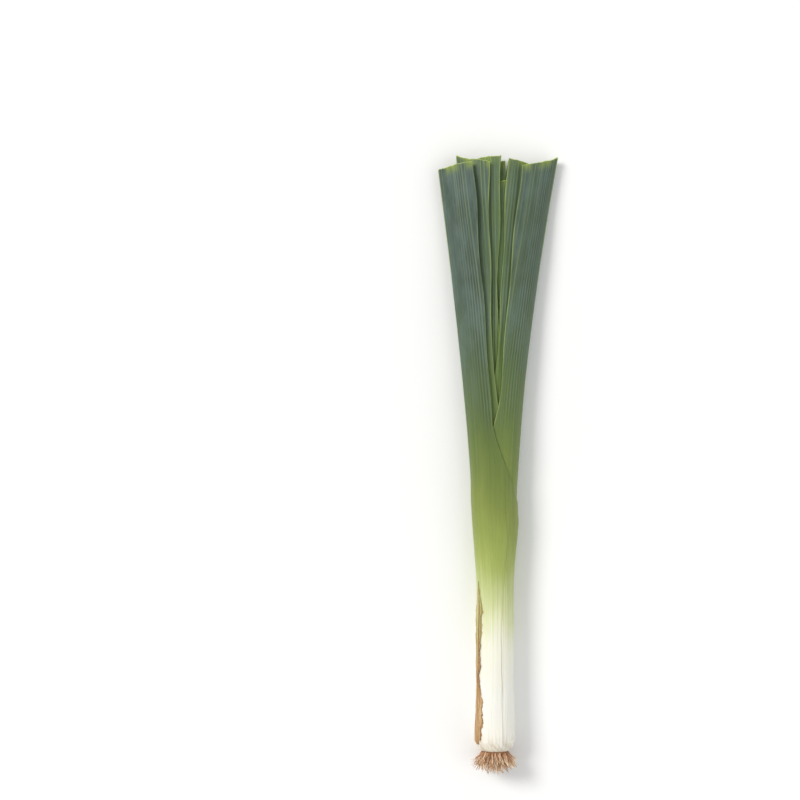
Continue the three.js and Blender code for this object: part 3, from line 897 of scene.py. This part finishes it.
def build_strip():
    """The dry strip, narrow and torn, on the shaft's left side, and thinner at its own sides."""
    t = np.linspace(0, 1, STRIP_ROWS)[:, None]
    share = np.linspace(-1, 1, STRIP_COLUMNS)[None, :]
    s, angle, half = strip_place(t, share)
    lift = strip_lift(t, share)
    outer = shaft_surface(s, angle, STRIP_OUTSET[0] + lift - STRIP_EDGE_FALL * np.abs(share) ** 2)
    inner = shaft_surface(s, angle, STRIP_OUTSET[1] + lift)
    uv = np.stack([share * half * SHAFT_RADIUS, s], -1) / MAP_UNIT
    edge = smooth((np.abs(share) - STRIP_EDGE_START) / (1 - STRIP_EDGE_START)) + 0 * s
    return closed_sheet("dry_strip_skin", outer, inner, uv, strip_finish(), False, edge=(edge, edge))


# Root tuft
ROOT_COUNT = 640
ROOT_RINGS = 12
ROOT_SIDES = 6
ROOT_RADII = (0.2, 0.78)
ROOT_TAPER = 0.55
ROOT_SINK = 2.5
ROOT_LENGTHS = (5, 13.6)
ROOT_LEAN = 0.82
ROOT_LEAN_SPREAD = (0.6, 1.3)
ROOT_RIM_STEP = 2.9
ROOT_CURL = 2.8
ROOT_SAG = 0.9
ROOT_WAVER = 0.6
ROOT_CRIMP = 0.22
ROOT_CLEARANCE = 0.1
LOWEST_FIBRE = 0.02
ROOT_TONES = (0.1, 0.9)
ROOT_PALING = (-0.22, 0.2)
PLATE_TONE = 0.1
PLATE_DEPTH = 6
PLATE_RINGS = 30
PLATE_SIDES = 96
GOLDEN_ANGLE = math.pi * (3 - math.sqrt(5))


def root_paths(draw):
    """Middle lines of the roots, in millimetres, and their first directions: each leaves the
    plate on a golden-angle spiral, leans out with it, sags and wavers."""
    number = np.arange(ROOT_COUNT)
    share = np.sqrt((number + 0.5) / ROOT_COUNT)
    turn = number * GOLDEN_ANGLE + draw.uniform(0, 0.3, ROOT_COUNT)
    lean = ROOT_LEAN * share * draw.uniform(*ROOT_LEAN_SPREAD, ROOT_COUNT)
    length = (ROOT_SINK + draw.uniform(*ROOT_LENGTHS, ROOT_COUNT))[:, None, None]
    out = np.stack([np.cos(turn), 0 * turn, np.sin(turn)], -1)
    aim = out * lean[:, None] + np.array([0, -1, 0])
    aim /= np.linalg.norm(aim, axis=1, keepdims=True)
    start = out * (share * (PLATE_RADIUS - 1.0))[:, None]
    start[:, 1] = -PLATE_DEPTH + ROOT_SINK + ROOT_RIM_STEP * share ** 5
    curl = draw.uniform(-1, 1, (ROOT_COUNT, 3)) * ROOT_CURL + np.array([0, 0, -ROOT_SAG])
    wobble = draw.uniform(0, 2 * np.pi, (ROOT_COUNT, 1, 3))
    t = np.linspace(0, 1, ROOT_RINGS)[None, :, None]
    waver = ROOT_WAVER * np.sin(t * 8 + wobble) * t + ROOT_CRIMP * np.sin(t * 21 + 3 * wobble) * t
    path = start[:, None] + aim[:, None] * (length * t) + curl[:, None] * t ** 2 + waver
    return path, aim


def root_plate(first):
    """The plate's points in millimetres and its faces, whose corner numbers start at first: a
    shallow rough dome, closed at the back."""
    u = np.linspace(0, 1, PLATE_RINGS)[:, None]
    a = np.linspace(0, 2 * np.pi, PLATE_SIDES, endpoint=False)[None, :]
    rough = 0.35 * np.sin(9 * a + 5 * u) + 0.3 * np.sin(17 * a - 11 * u) + 0.25 * np.sin(31 * a + 3)
    radius = (PLATE_RADIUS - 0.6) * np.sin(u * np.pi / 2) + 0.5 * rough * u
    dome = (PLATE_DEPTH - SEAM) * np.cos(u * np.pi / 2) ** 1.4
    depth = -SEAM - dome + 0.3 * rough * u * (1 - u)
    plate = np.stack([radius * np.cos(a), depth, radius * np.sin(a) + AXIS_HEIGHT], -1)
    sides = quads_of(PLATE_RINGS, PLATE_SIDES, True, first)
    rim = first + (PLATE_RINGS - 1) * PLATE_SIDES + np.arange(PLATE_SIDES)
    hub = first + PLATE_RINGS * PLATE_SIDES
    back = np.stack([rim, np.roll(rim, -1), np.full(PLATE_SIDES, hub)], -1)
    return np.concatenate([plate.reshape(-1, 3), [[0, -SEAM, AXIS_HEIGHT]]]), [sides, back]


def build_roots():
    """The root plate and its brush of cut roots as thin tapered tubes, paler towards their ends."""
    draw = np.random.default_rng(11)
    path, aim = root_paths(draw)
    path[..., 2] += AXIS_HEIGHT
    thickness = mix(*ROOT_RADII, draw.uniform(0, 1, ROOT_COUNT) ** 1.5)
    radius = thickness[:, None] * mix(1, ROOT_TAPER, np.linspace(0, 1, ROOT_RINGS))
    path[..., 2] = np.maximum(path[..., 2], radius + ROOT_CLEARANCE)
    side = np.cross(aim, [0, 0, 1])
    side /= np.linalg.norm(side, axis=1, keepdims=True)
    top = np.cross(side, aim)
    angle = (np.arange(ROOT_SIDES) / ROOT_SIDES * 2 * np.pi)[None, :, None]
    ring = side[:, None] * np.cos(angle) + top[:, None] * np.sin(angle)
    points = path[:, :, None] + ring[:, None] * radius[:, :, None, None]
    points[..., 2] = np.maximum(points[..., 2], LOWEST_FIBRE)
    block = ROOT_RINGS * ROOT_SIDES
    first = np.arange(ROOT_COUNT)[:, None] * block
    tubes = (quads_of(ROOT_RINGS, ROOT_SIDES, True)[None] + first[:, None]).reshape(-1, 4)
    feet = first + np.arange(ROOT_SIDES)[None, ::-1]
    ends = first + block - ROOT_SIDES + np.arange(ROOT_SIDES)[None, :]
    plate, plate_faces = root_plate(ROOT_COUNT * block)
    vertices = np.concatenate([points.reshape(-1, 3), plate]) * MM + np.array([MIDDLE_X, PLATE_Y, 0])
    paler = np.repeat(np.linspace(*ROOT_PALING, ROOT_RINGS), ROOT_SIDES)
    tone = (draw.uniform(*ROOT_TONES, ROOT_COUNT)[:, None] + paler).reshape(-1)
    tone = np.concatenate([tone, np.full(len(plate), PLATE_TONE)])
    faces = [tubes, feet, ends, *plate_faces]
    return mesh_object("root_tuft_fibres", vertices, faces, root_finish(), tone=tone)


def dress(piece, node):
    """Puts the piece on the root body and hides the imported node that it stands for."""
    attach(piece, "root")
    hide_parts(node)


def build_table():
    """A wide pale floor at the height the leek rests on."""
    half = TABLE_HALF
    grid = np.array([[-half, -half, 0], [half, -half, 0], [half, half, 0], [-half, half, 0]])
    table = mesh_object("table", grid, [np.array([[0, 1, 2, 3]])], table_finish())


def build_camera():
    """Straight above the table, so that the leek lies where it stands in the photograph, at the
    photograph's scale."""
    length = CAD_BOX[1].y - CAD_BOX[0].y
    pixel = length / (PHOTO_FOOT - PHOTO_TOP)
    data = bpy.data.cameras.new("camera")
    data.lens = LENS
    data.sensor_width = SENSOR
    data.clip_end = FARTHEST_SEEN
    camera = bpy.data.objects.new("camera", data)
    bpy.context.scene.collection.objects.link(camera)
    middle = PHOTO_SIZE / 2
    camera.location = (
        MIDDLE_X - (PHOTO_AXIS - middle) * pixel,
        CAD_BOX[1].y - (middle - PHOTO_TOP) * pixel,
        PHOTO_SIZE * pixel * LENS / SENSOR + CAD_BOX[1].z / 2,
    )
    camera.rotation_euler = (0, 0, 0)
    bpy.context.scene.camera = camera


def sun_light(name, place, radiance, spread, colour):
    """A soft distant light from the side of place, which gives a level white surface the radiance
    named. spread is the width of the light in degrees."""
    data = bpy.data.lights.new(name, "SUN")
    direction = Vector(place).normalized()
    data.energy = radiance * math.pi / direction.z
    data.angle = math.radians(spread)
    data.color = colour
    light = bpy.data.objects.new(name, data)
    bpy.context.scene.collection.objects.link(light)
    light.rotation_mode = "QUATERNION"
    light.rotation_quaternion = (-direction).to_track_quat("-Z", "Y")


def build_light():
    """Plain studio light: a soft key from the upper left, a fill from the right and a pale sky,
    which together bring the table close to white."""
    sun_light("key", (-1.2, 0.8, 1.3), 0.44, 24, (1, 0.985, 0.965))
    sun_light("fill", (1.6, -0.6, 1.3), 0.12, 60, (0.95, 0.98, 1))
    world = bpy.data.worlds.new("studio")
    world.use_nodes = True
    sky = world.node_tree.nodes["Background"]
    sky.inputs["Color"].default_value = (1, 1, 1, 1)
    sky.inputs["Strength"].default_value = SKY_STRENGTH
    bpy.context.scene.world = world
    bpy.context.scene.view_settings.view_transform = "Standard"


build_camera()
build_light()
build_table()
dress(build_shank(), "shank")
dress(build_strip(), "dry_strip")
dress(build_roots(), "root_tuft")
for number in range(len(LEAVES)):
    dress(build_leaf(number), f"leaf_{number + 1}")
